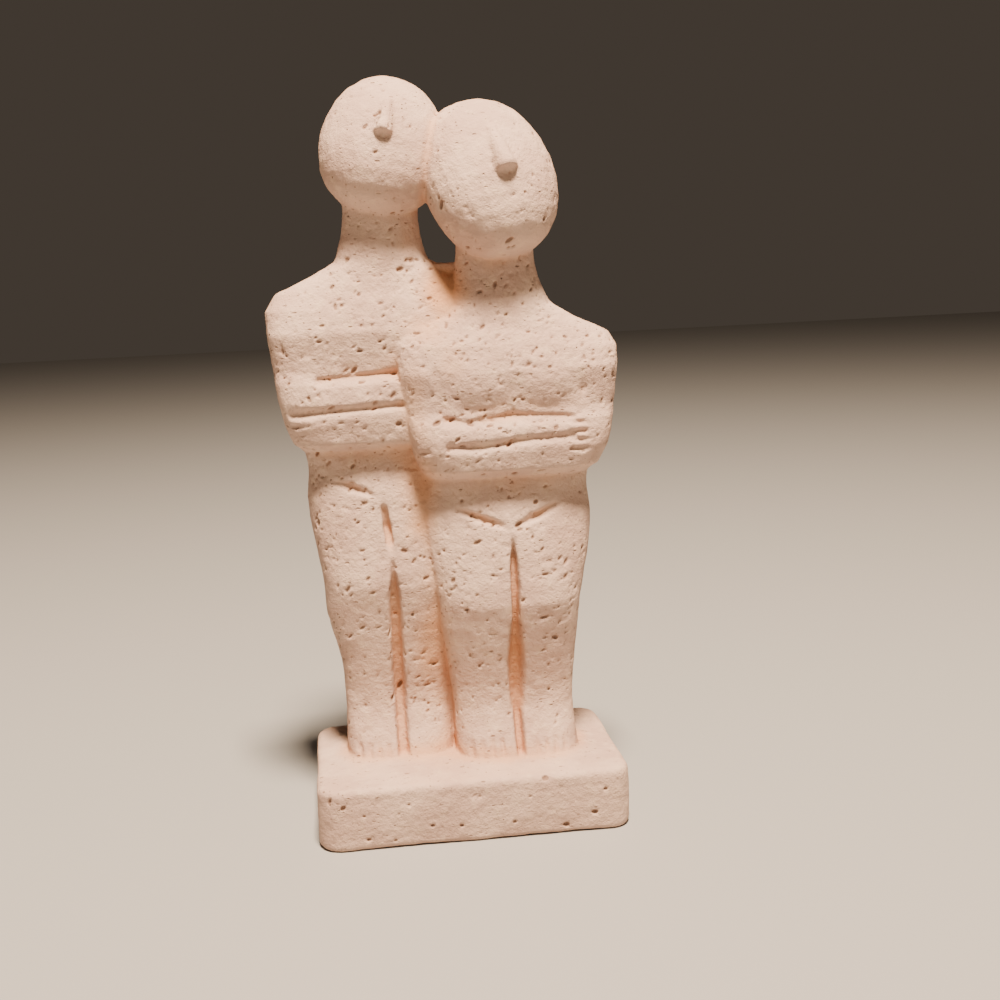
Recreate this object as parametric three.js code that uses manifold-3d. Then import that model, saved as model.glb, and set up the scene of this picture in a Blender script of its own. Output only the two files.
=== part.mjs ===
// A small cast-stone group after the Cycladic figurines: a man and a woman with folded arms,
// standing close together, cast in one piece with their base.
// Millimetres. +Z is up, the figures face -Y, and +X runs from the man to the woman.
// The origin is in the middle of the underside of the base.

import * as THREE from "three";
import { mergeVertices } from "three/addons/utils/BufferGeometryUtils.js";
import Module from "manifold-3d";

const wasm = await Module();
wasm.setup();

// ---------------------------------------------------------------- driving dimensions

const BASE = {
  width: 84,
  depth: 50.5,
  height: 17,
  cornerRadius: 6,
  topRound: 1.8,
  footRound: 1,
};

// Depth of a figure at each level of the body: reach in front of its middle plane, reach behind it,
// and how square the section is (2 is an ellipse, more is boxier).
const RELIEF = {
  sole: [13.6, 10.5, 3.4],
  instep: [10.8, 10.2, 3.4],
  ankle: [7.2, 8.6, 3.2],
  calf: [8.8, 10.2, 3.2],
  shin: [11.4, 9.4, 3.2],
  knee: [12.8, 8.8, 3.2],
  thigh: [12.0, 10.8, 3.0],
  hip: [10.2, 13.0, 2.8],
  belly: [9.0, 11.0, 2.8],
  undercut: [9.0, 10.2, 2.8],
  elbow: [13.2, 10.2, 4.6],
  forearm: [14.2, 10.6, 5.2],
  fold: [13.4, 11.0, 5.2],
  chest: [11.6, 11.4, 5.0],
  breast: [12.6, 12.2, 4.8],
  shoulder: [10.6, 11.6, 4.2],
  yoke: [8.4, 9.8, 3.0],
  collar: [7.6, 8.6, 2.3],
  throat: [7.2, 7.8, 2.2],
  neck: [7.0, 7.4, 2.1],
  nape: [6.6, 7.0, 2.1],
};

// Each level is its height above the table, the middle of the body there, its half width, and where
// the shoulders aren't level, how far the section drops for each millimetre towards +X.
// A cut is its width at the skin, the width of its floor and its depth. It may taper away over a
// length at its start, its end or both.
const MAN = {
  plane: 6,
  fullness: 0.94,
  levels: {
    sole: [14, -18.0, 14.8],
    instep: [20.5, -18.0, 15.0],
    ankle: [30, -17.8, 15.0],
    calf: [44, -17.7, 15.6],
    shin: [58, -17.8, 18.7],
    knee: [65, -17.8, 18.7],
    thigh: [76, -17.9, 20.4],
    hip: [90, -18.0, 21.8],
    belly: [98, -17.6, 21.3],
    undercut: [102.6, -17.2, 22.2],
    elbow: [105, -17.0, 25.4],
    forearm: [111, -16.8, 27.6],
    fold: [121.4, -16.7, 29.4],
    chest: [124.2, -16.6, 29.7],
    breast: [134, -16.5, 30.9],
    shoulder: [140.5, -16.5, 31.1],
    yoke: [145, -16.4, 28.2],
    collar: [148.8, -16.2, 19.6],
    throat: [152.5, -15.9, 12.4],
    neck: [159, -15.7, 10.7],
    nape: [170, -15.4, 9.8],
  },
  head: {
    x: -13.7, y: 6.5, z: 182, width: 33.4, height: 38.4, depth: 25,
    taper: 0.08, back: 24, lean: 11, turn: -4,
  },
  nose: { width: 6.2, length: 11, proud: 3.4, drop: 4.2 },
};

const WOMAN = {
  plane: 0,
  fullness: 1,
  levels: {
    sole: [14, 14.4, 17.0],
    instep: [20.5, 14.4, 17.0],
    ankle: [30, 14.2, 16.7],
    calf: [43, 13.8, 17.9],
    shin: [53.5, 13.6, 19.4],
    knee: [59.8, 13.8, 19.8],
    thigh: [70, 14.0, 21.9],
    hip: [83, 14.2, 23.2],
    belly: [90.5, 14.4, 22.2],
    undercut: [94.4, 14.8, 22.0],
    elbow: [96.8, 15.2, 24.0],
    forearm: [102, 15.5, 26.2],
    fold: [109.4, 15.7, 27.6],
    chest: [112.2, 15.7, 28.0],
    breast: [122.6, 15.7, 29.3],
    shoulder: [129, 15.7, 29.7, 0.04],
    yoke: [133, 15.6, 28.0, 0.05],
    collar: [136.4, 15.0, 19.6, 0.03],
    throat: [139.8, 14.4, 13.9],
    neck: [146, 14.1, 11.5],
    nape: [158, 13.6, 9.8],
  },
  head: {
    x: 13, y: 0, z: 172, width: 35.2, height: 44, depth: 27,
    taper: 0.03, back: 24, lean: -9, turn: 12,
  },
  nose: { width: 6.8, length: 13.5, proud: 3.8, drop: 5.6 },
};

const CUT = {
  forearm: { width: 3.0, floor: 0.5, depth: 1.6 },
  arm: { width: 2.4, floor: 0.5, depth: 0.9, start: 3 },
  groin: { width: 2.8, floor: 0.4, depth: 1.3, start: 3, end: 3 },
  finger: { width: 1.3, floor: 0.3, depth: 0.9 },
  toe: { width: 1.2, floor: 0.3, depth: 0.9 },
  legs: { width: 2.6, floor: 1.6, depth: 4.0, start: 9 },
  calves: { width: 4.8, floor: 3.0, depth: 3.6, start: 18, end: 14 },
  crotch: { width: 3.0, floor: 1.2, depth: 2.4, start: 5, end: 5 },
  cleft: { width: 3.6, floor: 2.2, depth: 3.6, start: 12 },
  spine: { width: 3.4, floor: 0.8, depth: 1.3 },
  backOfLegs: { width: 3.8, floor: 2.0, depth: 3.6 },
};

const BREAST = { apart: 17, z: 119.5, width: 25, height: 18, proud: 0.9, thickness: 10 };

// A nose stands on the curve of the face: its root is set this far in, and it narrows to its bridge.
const NOSE = { rootFront: 2, rootBack: 4, bridge: 0.5, slope: 0.8, underside: 0.8, power: 2.4, sides: 12 };
const NOSE_LEVELS = [0, 0.12, 0.55, 1];

// Stone left standing between the two figures, from the base up to the gap between their necks.
// Each level is its height, its middle and its half width.
const WEB = {
  plane: 6.5,
  reach: 5,
  power: 2.6,
  levels: [
    [14, -2.4, 4.5],
    [60, -3, 4.5],
    [100, -1, 5],
    [140, 0.5, 6.5],
    [149.4, 0.5, 6.5],
    [151.2, 0.5, 4.5],
  ],
};

const RING_STEP = 4.4;
const BODY_SIDES = 32;
const WEB_SIDES = 12;
const HEAD_SIDES = 24;
const HEAD_RINGS = 13;
const HEAD_FULLNESS = 0.84;
const CUT_STEP = 7;
const CUT_CLEARANCE = 3;
const TOE_FOOT = 16;
const TAPER_LEAST = 0.05;
const HEAD_POWER = 2.15;

const STONE = new THREE.MeshStandardMaterial({ color: 0xdcc3b1, roughness: 0.9, metalness: 0 });

// ---------------------------------------------------------------- solids from rings

function signedVolume(points, triangles) {
  let volume = 0;
  for (let i = 0; i < triangles.length; i += 3) {
    const [a, b, c] = [0, 1, 2].map((k) => points[triangles[i + k]]);
    volume += a.dot(new THREE.Vector3().crossVectors(b, c)) / 6;
  }
  return volume;
}

// Closes a row of equal rings into one solid, with a flat fan over each end.
function skin(rings) {
  const count = rings[0].length;
  const points = rings.flat();
  const triangles = [];
  for (let r = 0; r + 1 < rings.length; r++) {
    for (let i = 0; i < count; i++) {
      const [a, b] = [r * count + i, r * count + ((i + 1) % count)];
      triangles.push(a, b, b + count, a, b + count, a + count);
    }
  }
  for (const [first, flip] of [[0, true], [(rings.length - 1) * count, false]]) {
    const hub = points.length;
    const ring = points.slice(first, first + count);
    points.push(ring.reduce((sum, p) => sum.add(p), new THREE.Vector3()).divideScalar(count));
    for (let i = 0; i < count; i++) {
      const [a, b] = [first + i, first + ((i + 1) % count)];
      triangles.push(...(flip ? [b, a, hub] : [a, b, hub]));
    }
  }
  if (signedVolume(points, triangles) < 0) triangles.reverse();
  return new wasm.Manifold(
    new wasm.Mesh({
      numProp: 3,
      vertProperties: new Float32Array(points.flatMap((p) => p.toArray())),
      triVerts: new Uint32Array(triangles),
    }),
  );
}

const signedPower = (value, power) => Math.sign(value) * Math.abs(value) ** power;

// A rounded section in the XY plane whose front, back and sides can differ.
function sectionRing({ x, y, z, half, front, back, power, drop = 0 }, sides) {
  return Array.from({ length: sides }, (_, i) => {
    const angle = ((i + 0.5) / sides) * 2 * Math.PI;
    const across = signedPower(Math.cos(angle), 2 / power);
    const deep = signedPower(Math.sin(angle), 2 / power);
    const reach = deep < 0 ? front : back;
    return new THREE.Vector3(x + half * across, y + deep * reach, z - drop * half * across);
  });
}

// ---------------------------------------------------------------- the body of a figure

// Smooth curve through a figure's levels: gives the section at any height.
function bodyShape(figure) {
  const names = Object.keys(figure.levels);
  const rows = names.map((name) => {
    const [, x, half, drop = 0] = figure.levels[name];
    const [front, back, power] = RELIEF[name];
    return [x, half, front * figure.fullness, back * figure.fullness, power, drop];
  });
  const heights = names.map((name) => figure.levels[name][0]);
  const curve = new THREE.CubicInterpolant(heights, rows.flat(), rows[0].length);
  const at = (z) => {
    const [x, half, front, back, power, drop] = curve.evaluate(z);
    return { x, y: figure.plane, z, half, front, back, power, drop };
  };
  const face = (x, z, side) => {
    const s = at(z);
    const u = Math.min(Math.abs((x - s.x) / s.half), 0.98);
    const reach = (1 - u ** s.power) ** (1 / s.power);
    return s.y + (side < 0 ? -s.front : s.back) * reach;
  };
  return { heights, at, face };
}

function bodySolid(shape) {
  const rings = [];
  shape.heights.forEach((z, i) => {
    const next = shape.heights[i + 1] ?? z;
    const steps = Math.max(1, Math.round((next - z) / RING_STEP));
    for (let k = 0; k < steps; k++) rings.push(shape.at(z + ((next - z) * k) / steps));
  });
  return skin(rings.map((section) => sectionRing(section, BODY_SIDES)));
}

// A chisel that follows the skin from one [x, z] point to the next. Side -1 is the front.
function chisel(shape, points, cut, side = -1) {
  const rings = [];
  const places = points.map(([x, z]) => new THREE.Vector2(x, z));
  const lengths = places.slice(1).map((place, i) => place.distanceTo(places[i]));
  const total = lengths.reduce((sum, length) => sum + length);
  let travelled = 0;
  for (let i = 0; i + 1 < points.length; i++) {
    const from = places[i];
    const along = places[i + 1].clone().sub(from);
    const steps = Math.max(1, Math.round(lengths[i] / CUT_STEP));
    const across = new THREE.Vector2(-along.y, along.x).normalize();
    const last = i + 2 === points.length ? 1 : 0;
    for (let k = 0; k < steps + last; k++) {
      const middle = from.clone().addScaledVector(along, k / steps);
      const strength = taper(cut, travelled + (lengths[i] * k) / steps, total);
      rings.push(chiselRing(shape, middle, across, cut, strength, side));
    }
    travelled += lengths[i];
  }
  return skin(rings);
}

// How much of a cut is left at a distance along it: it swells from its start and dies at its end.
function taper({ start = 0, end = 0 }, distance, total) {
  const rise = start ? distance / start : 1;
  const fall = end ? (total - distance) / end : 1;
  return THREE.MathUtils.clamp(Math.min(rise, fall), TAPER_LEAST, 1);
}

// The chisel's section: a trapezium from clear outside the skin down to the floor of the cut.
function chiselRing(shape, middle, across, cut, strength, side) {
  const skinY = shape.face(middle.x, middle.y, side);
  const [width, floor, depth] = [cut.width, cut.floor, cut.depth].map((size) => size * strength);
  const flare = ((cut.width - cut.floor) / 2 / cut.depth) * CUT_CLEARANCE;
  const corner = (offset, y) => {
    const point = middle.clone().addScaledVector(across, offset);
    return new THREE.Vector3(point.x, y, point.y);
  };
  return [
    corner(-width / 2 - flare, skinY + side * CUT_CLEARANCE),
    corner(width / 2 + flare, skinY + side * CUT_CLEARANCE),
    corner(floor / 2, skinY - side * depth),
    corner(-floor / 2, skinY - side * depth),
  ];
}

// ---------------------------------------------------------------- heads

// An egg-shaped head with its crown towards +Z and its face towards -Y, about its own middle.
function headSolid({ width, height, depth, taper }) {
  const rings = [];
  for (let i = 0; i < HEAD_RINGS; i++) {
    const angle = (-0.5 + (i + 0.5) / HEAD_RINGS) * Math.PI;
    const round = Math.cos(angle) ** HEAD_FULLNESS;
    const jaw = 1 - taper * Math.sin(angle);
    rings.push({
      x: 0,
      y: 0,
      z: (height / 2) * Math.sin(angle),
      half: (width / 2) * round * jaw,
      front: (depth / 2) * round * jaw,
      back: (depth / 2) * round,
      power: HEAD_POWER,
    });
  }
  return skin(rings.map((section) => sectionRing(section, HEAD_SIDES)));
}

// A plain wedge of a nose: narrow at the brow, widest and proudest at its flat underside.
function noseSolid({ width, length, proud, drop }, depth) {
  const rings = NOSE_LEVELS.map((t) => ({
    x: 0,
    y: -depth / 2 + NOSE.rootFront,
    z: -drop + length * t,
    half: (width / 2) * (1 - NOSE.bridge * t),
    front: NOSE.rootFront + proud * (1 - t) ** NOSE.slope * (t === 0 ? NOSE.underside : 1),
    back: NOSE.rootBack,
    power: NOSE.power,
  }));
  return skin(rings.map((section) => sectionRing(section, NOSE.sides)));
}

// Turns the head, tilts it back and leans it sideways, and sets it on the neck.
function headOnNeck({ head, nose }) {
  return headSolid(head)
    .add(noseSolid(nose, head.depth))
    .rotate([-head.back, 0, 0])
    .rotate([0, 0, head.turn])
    .rotate([0, head.lean, 0])
    .translate([head.x, head.y, head.z]);
}

// ---------------------------------------------------------------- carving

// Fingers lie level, one above the other.
function fingerCuts(shape, { x, z, stepX = 0, stepZ, count, length }) {
  return Array.from({ length: count }, (_, i) => {
    const start = [x + stepX * i, z + stepZ * i];
    return chisel(shape, [start, [start[0] + length, start[1]]], CUT.finger);
  });
}

// Toes stand side by side, from inside the base up.
function toeCuts(shape, { x, step, count, length }) {
  return Array.from({ length: count }, (_, i) => {
    const across = x + step * i;
    return chisel(shape, [[across, TOE_FOOT], [across, TOE_FOOT + length]], CUT.toe);
  });
}

function manCuts(shape) {
  return [
    chisel(shape, [[-35.4, 122.4], [-12, 123.6]], CUT.forearm),
    chisel(shape, [[-42.4, 113.6], [-12, 115]], CUT.forearm),
    chisel(shape, [[-36.6, 136], [-36.2, 122]], CUT.arm),
    chisel(shape, [[-33.5, 95.2], [-21, 90.4]], CUT.groin),
    chisel(shape, [[-19.2, 90], [-18.2, 74]], CUT.crotch),
    chisel(shape, [[-17.8, 76], [-17.5, 12]], CUT.cleft),
    chisel(shape, [[-16, 146], [-17.4, 88]], CUT.spine, 1),
    chisel(shape, [[-17.5, 84], [-17.5, 12]], CUT.backOfLegs, 1),
    ...fingerCuts(shape, { x: -45, z: 105.8, stepX: -0.5, stepZ: 2.4, count: 3, length: 6 }),
    ...toeCuts(shape, { x: -29.5, step: 2.6, count: 4, length: 5 }),
  ];
}

function womanCuts(shape) {
  return [
    chisel(shape, [[-3, 111], [4, 109.8], [15, 111.2], [32, 110]], CUT.forearm),
    chisel(shape, [[-2.6, 103.6], [7, 103.2], [19, 104.8], [32, 105]], CUT.forearm),
    chisel(shape, [[-4.4, 127], [-3.4, 111]], CUT.arm),
    chisel(shape, [[35.4, 123], [33.4, 110]], CUT.arm),
    chisel(shape, [[-1, 86.8], [13.4, 80.8]], CUT.groin),
    chisel(shape, [[15.4, 81], [28.4, 87]], CUT.groin),
    chisel(shape, [[14.4, 80], [14.2, 50], [14.4, 12]], CUT.legs),
    chisel(shape, [[14.3, 66], [14.2, 44], [14.4, 19]], CUT.calves),
    chisel(shape, [[14.6, 134], [14.4, 80]], CUT.spine, 1),
    chisel(shape, [[14.3, 76], [14.3, 12]], CUT.backOfLegs, 1),
    ...fingerCuts(shape, { x: 30, z: 101.6, stepZ: 2.3, count: 4, length: 5.5 }),
    ...fingerCuts(shape, { x: -13, z: 97.4, stepZ: 2.5, count: 3, length: 6.5 }),
    ...toeCuts(shape, { x: 1, step: 2.8, count: 4, length: 6 }),
    ...toeCuts(shape, { x: 19, step: 2.6, count: 4, length: 5 }),
  ];
}

function breastSolids(shape, middle) {
  return [-1, 1].map((side) => {
    const x = middle + (side * BREAST.apart) / 2;
    const y = shape.face(x, BREAST.z, -1) + BREAST.thickness / 2 - BREAST.proud;
    return ellipsoid([x, y, BREAST.z], [BREAST.width, BREAST.thickness, BREAST.height]);
  });
}

function webSolid() {
  const { plane, reach, power, levels } = WEB;
  const sections = levels.map(([z, x, half]) => ({ x, y: plane, z, half, front: reach, back: reach, power }));
  return skin(sections.map((section) => sectionRing(section, WEB_SIDES)));
}

function ellipsoid(centre, size) {
  const ball = new THREE.SphereGeometry(0.5, 14, 10);
  ball.scale(...size);
  ball.translate(...centre);
  return fromGeometry(ball);
}

function fromGeometry(geometry) {
  const bare = geometry.clone();
  bare.deleteAttribute("normal");
  bare.deleteAttribute("uv");
  const merged = mergeVertices(bare);
  return new wasm.Manifold(
    new wasm.Mesh({
      numProp: 3,
      vertProperties: new Float32Array(merged.attributes.position.array),
      triVerts: new Uint32Array(merged.index.array),
    }),
  );
}

function toGeometry(solid) {
  const mesh = solid.getMesh();
  const geometry = new THREE.BufferGeometry();
  geometry.setAttribute("position", new THREE.BufferAttribute(mesh.vertProperties, 3));
  geometry.setIndex(new THREE.BufferAttribute(mesh.triVerts, 1));
  geometry.computeVertexNormals();
  return geometry;
}

// ---------------------------------------------------------------- assembly

const union = (solids) => solids.reduce((all, solid) => all.add(solid));

function manSolid() {
  const shape = bodyShape(MAN);
  return bodySolid(shape).subtract(union(manCuts(shape))).add(headOnNeck(MAN));
}

function womanSolid() {
  const shape = bodyShape(WOMAN);
  const bust = breastSolids(shape, WOMAN.levels.breast[1]);
  return union([bodySolid(shape), ...bust])
    .subtract(union(womanCuts(shape)))
    .add(headOnNeck(WOMAN));
}

// A slab with rounded corners, its top edge well rounded and its foot edge just eased.
function baseSolid() {
  const outline = (inset, z) => {
    const corners = [[1, 1], [-1, 1], [-1, -1], [1, -1]];
    const radius = BASE.cornerRadius;
    const perCorner = 6;
    return corners.flatMap(([sx, sy], quarter) =>
      Array.from({ length: perCorner }, (_, i) => {
        const angle = (quarter + i / (perCorner - 1)) * (Math.PI / 2);
        const x = sx * (BASE.width / 2 - radius) + (radius - inset) * Math.cos(angle);
        const y = sy * (BASE.depth / 2 - radius) + (radius - inset) * Math.sin(angle);
        return new THREE.Vector3(x, y, z);
      }),
    );
  };
  const quarterRound = (radius, z, steps, up) =>
    Array.from({ length: steps + 1 }, (_, i) => {
      const angle = (i / steps) * (Math.PI / 2);
      const rise = radius * Math.sin(angle);
      const inset = radius * (1 - Math.cos(angle));
      return outline(inset, up ? z + rise : z - rise);
    });
  const foot = quarterRound(BASE.footRound, BASE.footRound, 1, false).reverse();
  const top = quarterRound(BASE.topRound, BASE.height - BASE.topRound, 3, true);
  return skin([...foot, ...top]);
}

const figurine = new THREE.Mesh(
  toGeometry(union([baseSolid(), manSolid(), womanSolid(), webSolid()])),
  STONE,
);
figurine.name = "figurine";

const group = new THREE.Group();
group.add(figurine);

export default group;
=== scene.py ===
"""Visual model of the cast-stone couple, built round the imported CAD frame.

The stone is sculpted as a signed distance field: the CAD solid is voxelised, its facets are
smoothed away while its carving is kept, soft forms are swelled, fine lines are cut, edges are
worn, pores are pressed in, and the result is meshed again. Lengths and places whose names end
in _MM or _mm are millimetres in the CAD frame; everything else is in metres.
"""

import math

import bpy
import numpy as np
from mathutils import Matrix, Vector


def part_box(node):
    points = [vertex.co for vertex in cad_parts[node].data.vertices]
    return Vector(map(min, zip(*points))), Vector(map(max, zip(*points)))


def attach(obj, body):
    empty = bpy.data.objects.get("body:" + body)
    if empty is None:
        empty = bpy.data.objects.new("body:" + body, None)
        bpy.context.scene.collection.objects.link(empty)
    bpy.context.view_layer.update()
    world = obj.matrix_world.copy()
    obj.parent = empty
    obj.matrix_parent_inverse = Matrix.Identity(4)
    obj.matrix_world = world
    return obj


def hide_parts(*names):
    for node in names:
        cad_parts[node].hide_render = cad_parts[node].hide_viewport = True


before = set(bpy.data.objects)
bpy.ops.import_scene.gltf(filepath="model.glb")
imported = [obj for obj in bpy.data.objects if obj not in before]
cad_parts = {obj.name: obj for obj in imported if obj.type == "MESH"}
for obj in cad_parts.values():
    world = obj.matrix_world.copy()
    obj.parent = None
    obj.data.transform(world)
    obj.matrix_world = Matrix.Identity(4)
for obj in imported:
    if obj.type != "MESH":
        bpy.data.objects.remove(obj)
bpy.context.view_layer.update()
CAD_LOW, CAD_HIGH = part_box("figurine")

import openvdb
from mathutils import Matrix, Vector

MM = 0.001
SEED = 7
VOXEL = 0.36 * MM
TARGET_TRIANGLES = 197000
MARGIN = 8  # voxels of empty space round the object
BAND_MM = 8.0  # how far from the skin the field holds true distances
BLUR_REACH = 2.6  # sigmas that a blur's kernel reaches

# ---------------------------------------------------------------- the field


class Field:
    """A dense signed distance field, negative inside, with its place in space."""

    def __init__(self, values, origin):
        self.values = values
        self.origin = np.asarray(origin, dtype=float)

    def to_grid(self, points):
        return (np.asarray(points) - self.origin) / VOXEL

    def sample(self, points, values=None):
        """Trilinear sample of the field, or of another array on the same grid."""
        source = self.values if values is None else values
        grid = np.clip(self.to_grid(points), 0, np.array(source.shape) - 1.001)
        low = grid.astype(int)
        part = grid - low
        total = np.zeros(len(grid), dtype=np.float32)
        for step, weight in corners_of_cell(part):
            index = low + step
            total += weight * source[index[:, 0], index[:, 1], index[:, 2]]
        return total

    def window(self, centre, reach):
        """The block of voxels within reach of a point: its slices, and each voxel's offset."""
        size = np.ceil(np.broadcast_to(reach, 3) / VOXEL).astype(int) + 1
        middle = np.round(self.to_grid(centre)).astype(int)
        low = np.maximum(middle - size, 0)
        high = np.minimum(middle + size + 1, self.values.shape)
        slices = tuple(slice(a, b) for a, b in zip(low, high))
        ticks = [self.origin[i] + VOXEL * np.arange(low[i], high[i]) - centre[i] for i in range(3)]
        return slices, np.stack(np.meshgrid(*ticks, indexing="ij"), axis=-1)

    def front(self, x_mm, z_mm):
        """The point of the front skin at a place across and up."""
        column = self.to_grid([[x_mm * MM, 0, z_mm * MM]])[0].round().astype(int)
        depth = self.values[column[0], :, column[2]]
        first = int(np.argmax(depth < 0))
        if first == 0:
            raise ValueError(f"no stone at {x_mm}, {z_mm}")
        before = depth[first - 1]
        y = first - 1 + before / (before - depth[first])
        return np.array([x_mm * MM, self.origin[1] + VOXEL * y, z_mm * MM])


def corners_of_cell(part):
    """The eight corners of a lattice cell, each with its trilinear weight."""
    for corner in range(8):
        step = np.array([corner & 1, corner >> 1 & 1, corner >> 2 & 1])
        yield step, np.prod(np.where(step, part, 1 - part), axis=1)


def triangles_of(obj):
    mesh = obj.data
    mesh.calc_loop_triangles()
    corners = np.empty(len(mesh.loop_triangles) * 3, dtype=np.int32)
    mesh.loop_triangles.foreach_get("vertices", corners)
    return vertices_of(mesh), corners.reshape(-1, 3)


def vertices_of(mesh):
    points = np.empty(len(mesh.vertices) * 3, dtype=np.float32)
    mesh.vertices.foreach_get("co", points)
    return points.reshape(-1, 3)


def field_of(obj):
    """The distance field of a closed mesh."""
    points, corners = triangles_of(obj)
    grid = openvdb.FloatGrid.createLevelSetFromPolygons(
        points,
        triangles=corners.astype(np.uint32),
        transform=openvdb.createLinearTransform(voxelSize=VOXEL),
        halfWidth=BAND_MM * MM / VOXEL,
    )
    low = np.floor(points.min(axis=0) / VOXEL).astype(int) - MARGIN
    high = np.ceil(points.max(axis=0) / VOXEL).astype(int) + MARGIN
    values = np.empty(tuple(high - low + 1), dtype=np.float32)
    grid.copyToArray(values, ijk=tuple(int(v) for v in low))
    return Field(values, low * VOXEL)


def quads_of(field):
    """The field's surface as points and quads."""
    grid = openvdb.FloatGrid(BAND_MM * MM)
    grid.transform = openvdb.createLinearTransform(voxelSize=VOXEL)
    low = np.round(field.origin / VOXEL).astype(int)
    grid.copyFromArray(field.values, ijk=tuple(int(v) for v in low))
    grid.gridClass = openvdb.GridClass.LEVEL_SET
    return grid.convertToQuads(isovalue=0.0)


def blurred(values, sigma_mm):
    """Gaussian blur, one axis at a time."""
    sigma = sigma_mm * MM / VOXEL
    reach = max(1, int(math.ceil(BLUR_REACH * sigma)))
    weights = np.exp(-0.5 * (np.arange(-reach, reach + 1) / sigma) ** 2)
    weights /= weights.sum()
    for axis in range(3):
        pad = [(reach, reach) if a == axis else (0, 0) for a in range(3)]
        padded = np.pad(values, pad, mode="edge")
        total = np.zeros_like(values)
        for k, weight in enumerate(weights):
            window = [slice(None)] * 3
            window[axis] = slice(k, k + values.shape[axis])
            total += np.float32(weight) * padded[tuple(window)]
        values = total
    return values


def eased(value, low, high):
    """0 below low, 1 above high, smooth between."""
    t = np.clip((value - low) / (high - low), 0, 1)
    return t * t * (3 - 2 * t)


class Grain:
    """Smooth seeded noise between -1 and 1, with a wavelength."""

    LATTICE = 32

    def __init__(self, wavelength_mm, seed):
        self.scale = 1 / (wavelength_mm * MM)
        self.lattice = np.random.default_rng(seed).uniform(-1, 1, (self.LATTICE,) * 3).astype(np.float32)

    def __call__(self, points):
        grid = np.asarray(points) * self.scale
        low = np.floor(grid).astype(int)
        part = (grid - low).astype(np.float32)
        part = part * part * (3 - 2 * part)
        total = np.zeros(len(grid), dtype=np.float32)
        for step, weight in corners_of_cell(part):
            index = (low + step) % self.LATTICE
            total += weight * self.lattice[index[:, 0], index[:, 1], index[:, 2]]
        return total


# ---------------------------------------------------------------- carving

FACET_BLUR_MM = 2.2
FACET_DEPTH_MM = 0.10
WEAR_MM = 0.34
EASE_MM = 1.1
STROKE_STEP_MM = 0.4
STROKE_END_SHARE = 0.35  # of its full depth, where a stroke begins and ends
SWELL_DEPTH_MM = 7.0
SWELL_WINDOW = 2.8  # reaches out to which a swell is worked out

# Soft forms on the front: place across and up, reach across and up, and rise.
SWELLS_MM = {
    "breastbone": (13.0, 129.5, 4.0, 6.0, 0.4),
    "inside_left_arm": (-1.8, 121.0, 1.8, 6.0, -0.45),
    "inside_right_arm": (33.0, 120.0, 1.6, 6.0, -0.35),
    "left_knee": (4.2, 61.5, 5.5, 2.4, 0.3),
    "right_knee": (23.8, 61.0, 5.5, 2.4, 0.3),
    "mans_knee": (-27.0, 67.0, 5.5, 2.6, 0.3),
}

# Fine lines on the front: the places they run through, their width and their depth.
LINES_MM = {
    "left_groin": ([(-0.6, 86.6), (6, 83.8), (12.6, 81.2)], 2.0, 0.7),
    "right_groin": ([(27.8, 86.8), (22, 84), (16.2, 81.4)], 2.0, 0.7),
    "mans_groin": ([(-33, 95.0), (-28, 93.4), (-21.6, 90.6)], 1.9, 0.6),
    "mans_crotch": ([(-19.4, 88.4), (-18.6, 82), (-18, 75)], 1.9, 0.7),
    "base_scratch": ([(-12.1, 7.2), (-2, 7.1), (7.2, 6.8)], 0.5, 0.25),
    "base_scratch_above": ([(-34.6, 13.4), (-16, 14.2), (0.9, 14.4)], 0.5, 0.12),
}

FINGER_MM = (0.95, 0.6)
TOE_MM = (0.9, 0.5)
FINGERS_MM = [
    [[(30, 101.6 + 2.3 * i), (34.8, 101.4 + 2.3 * i)] for i in range(4)],
    [[(-11.8, 97.2 + 2.5 * i), (-6.6, 97.6 + 2.5 * i)] for i in range(3)],
    [[(-41.6 - 0.4 * i, 105.6 + 2.4 * i), (-38, 105.8 + 2.4 * i)] for i in range(3)],
]
TOES_MM = [
    [[(1 + 2.8 * i, 18.2), (1 + 2.8 * i, 22.0)] for i in range(4)],
    [[(19 + 2.6 * i, 18.2), (19 + 2.6 * i, 21.6)] for i in range(4)],
    [[(-29.5 + 2.6 * i, 18.2), (-29.5 + 2.6 * i, 20.8)] for i in range(4)],
]

# Single larger pits on the front of the base and on its front edge: across, up, and radius.
BASE_PITS_MM = [
    (-29.8, 9.7, 0.5), (-12.0, 5.5, 0.6), (9.8, 4.6, 0.6), (23.7, 2.4, 0.8), (31.4, 5.4, 0.8),
    (34.5, 11.6, 0.6), (-17.9, 11.9, 0.5), (-4.3, 4.8, 0.6), (-21.9, 2.2, 0.5), (-28.9, 3.1, 0.6),
    (18.5, 16.0, 0.9), (0.8, 12.4, 0.4),
]


def without_facets(values):
    """Facets go and carving stays: only detail deeper than a facet is put back."""
    soft = blurred(values, FACET_BLUR_MM)
    detail = values - soft
    kept = np.sign(detail) * np.maximum(np.abs(detail) - FACET_DEPTH_MM * MM, 0)
    return soft + kept


def swell(field, x_mm, z_mm, reach_x_mm, reach_z_mm, rise_mm):
    """Lifts or sinks the front skin softly round a place."""
    centre = field.front(x_mm, z_mm)
    reach = np.array([reach_x_mm, SWELL_DEPTH_MM, reach_z_mm]) * MM
    slices, offsets = field.window(centre, SWELL_WINDOW * reach)
    falloff = np.exp(-0.5 * ((offsets / reach) ** 2).sum(axis=-1))
    field.values[slices] -= (rise_mm * MM * falloff).astype(np.float32)


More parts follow.
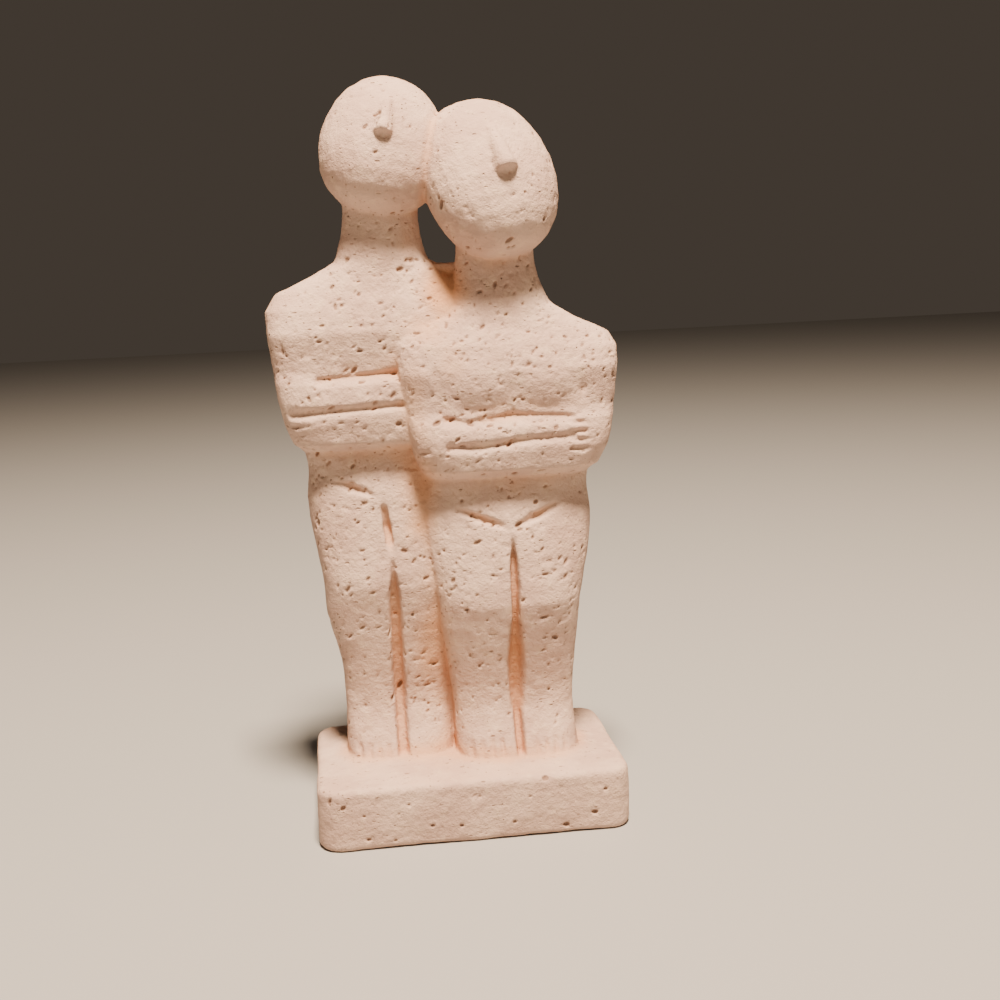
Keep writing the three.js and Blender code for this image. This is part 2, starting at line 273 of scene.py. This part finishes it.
def cut_line(field, places_mm, width_mm, depth_mm):
    """Draws a round-nosed chisel along the front skin, easing in and out at its ends."""
    radius = (width_mm**2 / 4 + depth_mm**2) / (2 * depth_mm)
    points = []
    for (x0, z0), (x1, z1) in zip(places_mm, places_mm[1:]):
        steps = max(2, int(math.hypot(x1 - x0, z1 - z0) / STROKE_STEP_MM))
        points += [(x0 + (x1 - x0) * k / steps, z0 + (z1 - z0) * k / steps) for k in range(steps)]
    points.append(places_mm[-1])
    skin = [field.front(*place) for place in points]
    for k, point in enumerate(skin):
        from_end = STROKE_STEP_MM * min(k, len(skin) - 1 - k)
        eased_in = STROKE_END_SHARE + (1 - STROKE_END_SHARE) * from_end / EASE_MM
        depth = depth_mm * min(1.0, eased_in)
        centre = point - np.array([0, (radius - depth) * MM, 0])
        slices, offsets = field.window(centre, (radius + 1) * MM)
        ball = np.linalg.norm(offsets, axis=-1) - radius * MM
        field.values[slices] = np.maximum(field.values[slices], -ball.astype(np.float32))


def carve(field):
    for form in SWELLS_MM.values():
        swell(field, *form)
    for line in LINES_MM.values():
        cut_line(field, *line)
    for row in FINGERS_MM:
        for finger in row:
            cut_line(field, finger, *FINGER_MM)
    for row in TOES_MM:
        for toe in row:
            cut_line(field, toe, *TOE_MM)


# ---------------------------------------------------------------- stone surface

# Blurs for the hollow measures, which set painted shade in the material and thin the pores in hollows.
HOLLOW_BLUR_MM = (1.5, 4.5)
UNDULATION_MM = [(13, 0.16), (5, 0.09), (2.4, 0.08), (1.3, 0.05)]  # wavelength and height


def weathered(field):
    """Uneven casting: the skin wanders in and out by about a fifth of a millimetre."""
    band = np.argwhere(np.abs(field.values) < 3 * VOXEL)
    points = field.origin + band * VOXEL
    drift = np.zeros(len(points), dtype=np.float32)
    for k, (wavelength, height) in enumerate(UNDULATION_MM):
        drift += height * MM * Grain(wavelength, SEED + 20 + k)(points)
    field.values[band[:, 0], band[:, 1], band[:, 2]] += drift


def hollowness(values, sigma_mm):
    """How much stone stands round each point: 0 on a flat face, above 0 in a hollow."""
    solid = np.clip(0.5 - values / (2 * VOXEL), 0, 1).astype(np.float32)
    return blurred(solid, sigma_mm) - np.float32(0.5)


def normals_at(field, points):
    step = 0.8 * VOXEL
    ahead = [field.sample(points + step * axis) for axis in np.eye(3)]
    behind = [field.sample(points - step * axis) for axis in np.eye(3)]
    gradient = np.stack(ahead, axis=1) - np.stack(behind, axis=1)
    return gradient / np.maximum(np.linalg.norm(gradient, axis=1, keepdims=True), 1e-12)


PORE_TRIES = 15000
PORE_SLANT = math.radians(38)
PORE_TURN = 0.45  # radians, the spread of a pore's direction round the slant
PORE_SIZE_LOG = (-1.12, 0.34)  # middle and spread of the logarithm of its size in mm
PORE_SIZE_MM = (0.22, 0.8)  # least and most
PIT_SHAPE = (1.2, 1.0, 0.9)  # across, in and up, in radii


def pore_density(points, hollow):
    """Where the casting is open: bodies most, heads and base least, smooth in the hollows."""
    height = (points[:, 2] - CAD_LOW.z) / (CAD_HIGH.z - CAD_LOW.z)
    body = eased(height, 0.09, 0.2) * (1 - 0.8 * eased(height, 0.72, 0.8))
    shins = 1 - 0.45 * eased(height, 0.13, 0.2) * (1 - eased(height, 0.27, 0.33))
    clusters = eased(Grain(9, SEED + 1)(points) + 0.5 * Grain(4, SEED + 2)(points), -0.35, 0.6)
    open_skin = 1 - 0.8 * eased(hollow, 0.05, 0.14)
    return (0.07 + 0.93 * body * shins) * (0.2 + 0.8 * clusters) * open_skin


def press(field, centre, axes, half):
    """Presses one oval into the skin; axes are its length, its width and the normal."""
    slices, offsets = field.window(centre, half.max() + VOXEL)
    distance = (np.linalg.norm(offsets @ axes.T / half, axis=-1) - 1) * half.min()
    field.values[slices] = np.maximum(field.values[slices], -distance.astype(np.float32))


def press_pores(field, points, normals, hollow):
    """Slanting oval pores, each one a short scoop along the surface."""
    rng = np.random.default_rng(SEED)
    chosen = rng.integers(0, len(points), PORE_TRIES)
    keep = rng.uniform(0, 1, PORE_TRIES) < pore_density(points[chosen], hollow[chosen])
    slant = Vector((math.cos(PORE_SLANT), 0, math.sin(PORE_SLANT)))
    for index in chosen[keep]:
        normal = Vector(normals[index])
        along = slant - slant.dot(normal) * normal
        if along.length < 0.2:
            along = normal.orthogonal()
        along = (Matrix.Rotation(rng.normal(0, PORE_TURN), 3, normal) @ along).normalized()
        size = np.clip(rng.lognormal(*PORE_SIZE_LOG), *PORE_SIZE_MM)
        half = np.array([size * rng.uniform(1.0, 2.2), size * 0.85, size * rng.uniform(0.8, 1.1)]) * MM
        press(field, points[index], np.array([along, normal.cross(along), normal]), half)


def press_base_pits(field):
    for x_mm, z_mm, radius_mm in BASE_PITS_MM:
        half = np.array(PIT_SHAPE) * radius_mm * MM
        press(field, field.front(x_mm, z_mm), np.eye(3), half)


# Rust-coloured dirt and painted shade in the valleys where shadow falls: across, up, reach across and up,
# and strength. A zone runs through to the back.
STAINS_AND_SHADE_MM = {
    "between_the_necks": (-0.5, 144.0, 4.5, 6.0, 0.95),
    "under_the_valley": (-6.0, 134.0, 6.0, 5.0, 0.45),
    "beside_her_left_arm": (-9.5, 112.0, 3.0, 14.0, 0.4),
    "mans_hip": (-9.5, 90.0, 4.5, 12.0, 0.6),
    "far_leg": (-8.5, 48.0, 4.5, 13.0, 0.6),
    "mans_cleft": (-17.6, 48.0, 2.0, 14.0, 0.5),
    "between_her_legs": (14.3, 44.0, 1.9, 13.0, 0.8),
    "inside_her_left_arm": (0.5, 126.0, 4.0, 6.0, 0.35),
    "round_the_feet": (-2.0, 18.6, 26.0, 1.8, 0.45),
    "his_neck": (-9.0, 158.0, 3.0, 6.0, 0.35),
}


def stain_and_shade_amount(points):
    """How strongly each point is stained and painted with shade, from 0 to 1."""
    total = np.zeros(len(points), dtype=np.float32)
    for x_mm, z_mm, reach_x_mm, reach_z_mm, strength in STAINS_AND_SHADE_MM.values():
        across = (points[:, 0] / MM - x_mm) / reach_x_mm
        up = (points[:, 2] / MM - z_mm) / reach_z_mm
        total = np.maximum(total, strength * np.exp(-0.5 * (across**2 + up**2)))
    return total


# ---------------------------------------------------------------- the mesh


def mesh_object(name, points, quads):
    mesh = bpy.data.meshes.new(name)
    mesh.vertices.add(len(points))
    mesh.vertices.foreach_set("co", np.ascontiguousarray(points, dtype=np.float32).ravel())
    mesh.loops.add(quads.size)
    turned = np.ascontiguousarray(quads[:, ::-1], dtype=np.int32)
    mesh.loops.foreach_set("vertex_index", turned.ravel())
    mesh.polygons.add(len(quads))
    mesh.polygons.foreach_set("loop_start", np.arange(0, quads.size, 4, dtype=np.int32))
    mesh.update(calc_edges=True)
    mesh.validate()
    obj = bpy.data.objects.new(name, mesh)
    bpy.context.scene.collection.objects.link(obj)
    return obj


def decimate(obj, triangles):
    modifier = obj.modifiers.new("decimate", "DECIMATE")
    faces = sum(len(p.vertices) - 2 for p in obj.data.polygons)
    modifier.ratio = min(1.0, triangles / faces)
    modifier.use_collapse_triangulate = True
    depsgraph = bpy.context.evaluated_depsgraph_get()
    mesh = bpy.data.meshes.new_from_object(obj.evaluated_get(depsgraph))
    obj.modifiers.clear()
    heavy = obj.data
    obj.data = mesh
    bpy.data.meshes.remove(heavy)


def stand_flat(mesh):
    """Nothing reaches below the flat underside that the object stands on."""
    points = vertices_of(mesh)
    points[:, 2] = np.maximum(points[:, 2], CAD_LOW.z)
    mesh.vertices.foreach_set("co", points.ravel())
    mesh.update()


def paint(mesh, name, values):
    layer = mesh.attributes.new(name, "FLOAT", "POINT")
    layer.data.foreach_set("value", np.ascontiguousarray(values, dtype=np.float32))


def sculpt():
    """The couple and their base as one worn, porous mesh."""
    field = field_of(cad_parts["figurine"])
    field.values = without_facets(field.values)
    carve(field)
    field.values = blurred(field.values, WEAR_MM)
    hollows = [hollowness(field.values, sigma) for sigma in HOLLOW_BLUR_MM]
    weathered(field)
    smooth = field.values.copy()
    points, _ = quads_of(field)
    normals = normals_at(field, points)
    press_pores(field, points, normals, field.sample(points, hollows[1]))
    press_base_pits(field)
    couple = mesh_object("couple", *quads_of(field))
    decimate(couple, TARGET_TRIANGLES)
    mesh = couple.data
    stand_flat(mesh)
    places = vertices_of(mesh)
    # These layers feed the material: crease, hollow and pit set painted shade in the recesses, and the
    # listed zones set stain and painted shade.
    paint(mesh, "crease", field.sample(places, hollows[0]))
    paint(mesh, "hollow", field.sample(places, hollows[1]))
    paint(mesh, "pit", -field.sample(places, smooth) / MM)
    paint(mesh, "stain_and_shade", stain_and_shade_amount(places))
    mesh.polygons.foreach_set("use_smooth", np.ones(len(mesh.polygons), dtype=bool))
    return couple


couple = sculpt()
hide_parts("figurine")
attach(couple, "root")

# ---------------------------------------------------------------- material helpers


class Nodes:
    """A short way to write a node tree: each maker returns its output socket."""

    def __init__(self, name):
        self.material = bpy.data.materials.new(name)
        self.material.use_nodes = True
        self.tree = self.material.node_tree
        self.shader = self.tree.nodes["Principled BSDF"]
        self.place = self.new("ShaderNodeTexCoord").outputs["Object"]

    def new(self, kind, **settings):
        node = self.tree.nodes.new(kind)
        for key, value in settings.items():
            setattr(node, key, value)
        return node

    def put(self, socket, value):
        if isinstance(value, bpy.types.NodeSocket):
            self.tree.links.new(value, socket)
        else:
            socket.default_value = value

    def attribute(self, name):
        return self.new("ShaderNodeAttribute", attribute_name=name).outputs["Fac"]

    def math(self, operation, *values):
        node = self.new("ShaderNodeMath", operation=operation)
        for socket, value in zip(node.inputs, values):
            self.put(socket, value)
        return node.outputs[0]

    def ramp(self, value, low, high, to_low=0.0, to_high=1.0):
        node = self.new("ShaderNodeMapRange", interpolation_type="SMOOTHSTEP")
        self.put(node.inputs["Value"], value)
        for key, number in zip(("From Min", "From Max", "To Min", "To Max"), (low, high, to_low, to_high)):
            node.inputs[key].default_value = number
        return node.outputs["Result"]

    def mapped(self, turn=(0, 0, 0), stretch=(1, 1, 1)):
        node = self.new("ShaderNodeMapping")
        self.put(node.inputs["Vector"], self.place)
        node.inputs["Rotation"].default_value = turn
        node.inputs["Scale"].default_value = stretch
        return node.outputs["Vector"]

    def noise(self, size_mm, detail=2.0, roughness=0.5, where=None):
        node = self.new("ShaderNodeTexNoise")
        self.put(node.inputs["Vector"], where or self.place)
        node.inputs["Scale"].default_value = 1 / (size_mm * MM)
        node.inputs["Detail"].default_value = detail
        node.inputs["Roughness"].default_value = roughness
        return node.outputs["Fac"]

    def cells(self, size_mm, where=None):
        """Distance to the nearest seed of a cell, in cells, and two random numbers of that cell."""
        node = self.new("ShaderNodeTexVoronoi")
        self.put(node.inputs["Vector"], where or self.place)
        node.inputs["Scale"].default_value = 1 / (size_mm * MM)
        split = self.new("ShaderNodeSeparateColor")
        self.put(split.inputs["Color"], node.outputs["Color"])
        return node.outputs["Distance"], split.outputs["Red"], split.outputs["Green"]

    def mix(self, factor, a, b, blend="MIX"):
        node = self.new("ShaderNodeMix", data_type="RGBA", blend_type=blend)
        self.put(node.inputs["Factor"], factor)
        self.put(node.inputs[6], a)
        self.put(node.inputs[7], b)
        return node.outputs[2]

    def bump(self, height, distance_mm, strength=1.0, below=None):
        node = self.new("ShaderNodeBump")
        self.put(node.inputs["Height"], height)
        node.inputs["Distance"].default_value = distance_mm * MM
        node.inputs["Strength"].default_value = strength
        if below is not None:
            self.put(node.inputs["Normal"], below)
        return node.outputs["Normal"]


def srgb(red, green, blue):
    def linear(c):
        c /= 255
        return c / 12.92 if c <= 0.04045 else ((c + 0.055) / 1.055) ** 2.4

    return (linear(red), linear(green), linear(blue), 1.0)


# ---------------------------------------------------------------- cast stone

PALE = srgb(206, 178, 160)
ROSE = srgb(192, 162, 146)
CREAM = srgb(216, 190, 166)
# The next three are stain and painted shade: peach in hollows and zones, ochre in creases, and dark brown
# in pits.
PEACH = srgb(202, 146, 102)
CREASE_SHADE_OCHRE = srgb(170, 112, 70)
PIT_SHADE = srgb(104, 72, 52)


def pore_layer(nodes, size_mm, radius, share, where):
    """Small pits in a share of the cells: 1 in the middle of a pit, 0 outside."""
    distance, chance, wide = nodes.cells(size_mm, where)
    present = nodes.ramp(chance, share + 0.04, share - 0.04)
    inner = nodes.math("DIVIDE", distance, nodes.math("MULTIPLY_ADD", wide, 0.5, 0.6))
    return nodes.math("MULTIPLY", nodes.ramp(inner, radius, radius * 0.35), present)


def stain_and_shade(nodes, colour):
    """Peach tint and painted shade in the hollows, and ochre painted shade in the tight ones."""
    drift = nodes.math("MULTIPLY_ADD", nodes.noise(7, detail=3), 0.2, -0.1)
    wide = nodes.ramp(nodes.math("ADD", nodes.attribute("hollow"), drift), 0.0, 0.18)
    tight = nodes.ramp(nodes.math("ADD", nodes.attribute("crease"), drift), 0.14, 0.34)
    dirt_and_shade = nodes.math("ADD", nodes.attribute("stain_and_shade"), nodes.math("MULTIPLY", drift, 1.6))
    # Painted shade, partly a real peach tint: places that the stone encloses turn towards peach.
    colour = nodes.mix(nodes.math("MULTIPLY", wide, 0.4), colour, PEACH)
    # Stain and painted shade from the listed zones, which sit in valleys where shadow falls.
    colour = nodes.mix(nodes.ramp(dirt_and_shade, 0.1, 0.95, 0, 0.85), colour, PEACH)
    # Painted shade: ochre darkening in the tight creases.
    return nodes.mix(nodes.math("MULTIPLY", tight, 0.35), colour, CREASE_SHADE_OCHRE)


def cast_stone():
    nodes = Nodes("cast_stone")
    blotch = nodes.noise(14, detail=3)
    mottle = nodes.noise(3.2, detail=4, roughness=0.6)
    colour = nodes.mix(nodes.ramp(blotch, 0.38, 0.64), ROSE, PALE)
    colour = nodes.mix(nodes.ramp(mottle, 0.5, 0.75, 0, 0.6), colour, CREAM)
    colour = stain_and_shade(nodes, colour)

    slanted = nodes.mapped(turn=(0, PORE_SLANT, 0), stretch=(0.5, 1, 1))
    fine = pore_layer(nodes, 1.5, 0.27, 0.36, slanted)
    dots = pore_layer(nodes, 1.1, 0.26, 0.22, nodes.place)
    open_skin = nodes.ramp(nodes.noise(9, detail=2), 0.4, 0.6, 0.3, 1.0)
    pits = nodes.math("MULTIPLY", nodes.math("MAXIMUM", fine, dots), open_skin)
    # Painted shade: pits darken with their depth, and the small shader pits darken too.
    deep = nodes.ramp(nodes.attribute("pit"), 0.1, 0.45)
    painted_pit_shade = nodes.math("MAXIMUM", nodes.math("MULTIPLY", pits, 0.5), nodes.math("MULTIPLY", deep, 0.62))
    colour = nodes.mix(painted_pit_shade, colour, PIT_SHADE)

    grit = nodes.noise(0.55, detail=3, roughness=0.7)
    grain = nodes.noise(1.6, detail=4, roughness=0.65)
    lumps = nodes.noise(3.4, detail=3)
    normal = nodes.bump(grit, 0.16, 0.9)
    normal = nodes.bump(grain, 0.5, 0.9, below=normal)
    normal = nodes.bump(lumps, 0.5, 0.8, below=normal)
    normal = nodes.bump(nodes.math("SUBTRACT", 1.0, pits), 0.35, 1.0, below=normal)

    shader = nodes.shader
    nodes.put(shader.inputs["Base Color"], colour)
    nodes.put(shader.inputs["Normal"], normal)
    nodes.put(shader.inputs["Roughness"], nodes.ramp(grain, 0.3, 0.7, 0.82, 0.95))
    shader.inputs["Specular IOR Level"].default_value = 0.25
    return nodes.material


couple.data.materials.clear()
couple.data.materials.append(cast_stone())

# ---------------------------------------------------------------- floor, light and camera

FLOOR_SIZE = 6.0
FLOOR_COLOUR = srgb(158, 157, 155)
LIGHTS_AIM = (0, 0, 0.1)
KEY_PLACE, KEY_SIZE, KEY_WATTS, KEY_COLOUR = (0.03, -0.35, 1.08), 0.18, 56.0, (1.0, 0.78, 0.58)
FILL_PLACE, FILL_SIZE, FILL_WATTS, FILL_COLOUR = (-0.8, -0.9, 0.5), 0.9, 0.6, (1.0, 0.8, 0.64)
WORLD_COLOUR, WORLD_STRENGTH = (1.0, 0.8, 0.62, 1), 0.06


def floor():
    bpy.ops.mesh.primitive_plane_add(size=FLOOR_SIZE)
    plane = bpy.context.object
    plane.name = "floor"
    nodes = Nodes("floor")
    nodes.shader.inputs["Base Color"].default_value = FLOOR_COLOUR
    nodes.shader.inputs["Roughness"].default_value = 0.9
    plane.data.materials.append(nodes.material)


def area_light(name, place, target, size, power, colour):
    light = bpy.data.lights.new(name, "AREA")
    light.shape = "SQUARE"
    light.size = size
    light.energy = power
    light.color = colour
    obj = bpy.data.objects.new(name, light)
    bpy.context.scene.collection.objects.link(obj)
    obj.location = place
    obj.rotation_euler = (Vector(target) - Vector(place)).to_track_quat("-Z", "Y").to_euler()


def lights():
    area_light("key", KEY_PLACE, LIGHTS_AIM, KEY_SIZE, KEY_WATTS, KEY_COLOUR)
    area_light("fill", FILL_PLACE, LIGHTS_AIM, FILL_SIZE, FILL_WATTS, FILL_COLOUR)
    world = bpy.data.worlds.new("studio")
    world.use_nodes = True
    world.node_tree.nodes["Background"].inputs["Color"].default_value = WORLD_COLOUR
    world.node_tree.nodes["Background"].inputs["Strength"].default_value = WORLD_STRENGTH
    bpy.context.scene.world = world


# The viewpoint, in the object's frame.
CAMERA_PLACE = (-0.0300, -0.3207, 0.1448)
CAMERA_YAW = 5.16
CAMERA_DOWN = 10.07
CAMERA_ROLL = -2.76
CAMERA_LENS_MM = 43.2
CAMERA_SENSOR_MM = 36
CAMERA_SHIFT = 0.05


def camera():
    yaw, down, roll = (math.radians(a) for a in (CAMERA_YAW, CAMERA_DOWN, CAMERA_ROLL))
    ahead = Vector((math.sin(yaw) * math.cos(down), math.cos(yaw) * math.cos(down), -math.sin(down)))
    level = Vector((math.cos(yaw), -math.sin(yaw), 0))
    upright = level.cross(ahead)
    right = math.cos(roll) * level + math.sin(roll) * upright
    up = -math.sin(roll) * level + math.cos(roll) * upright
    data = bpy.data.cameras.new("camera")
    data.lens = CAMERA_LENS_MM
    data.sensor_width = CAMERA_SENSOR_MM
    data.shift_x = CAMERA_SHIFT
    data.clip_start = 0.01
    obj = bpy.data.objects.new("camera", data)
    bpy.context.scene.collection.objects.link(obj)
    turn = Matrix((right, up, -ahead)).transposed().to_4x4()
    obj.matrix_world = Matrix.Translation(CAMERA_PLACE) @ turn
    bpy.context.scene.camera = obj


floor()
lights()
camera()
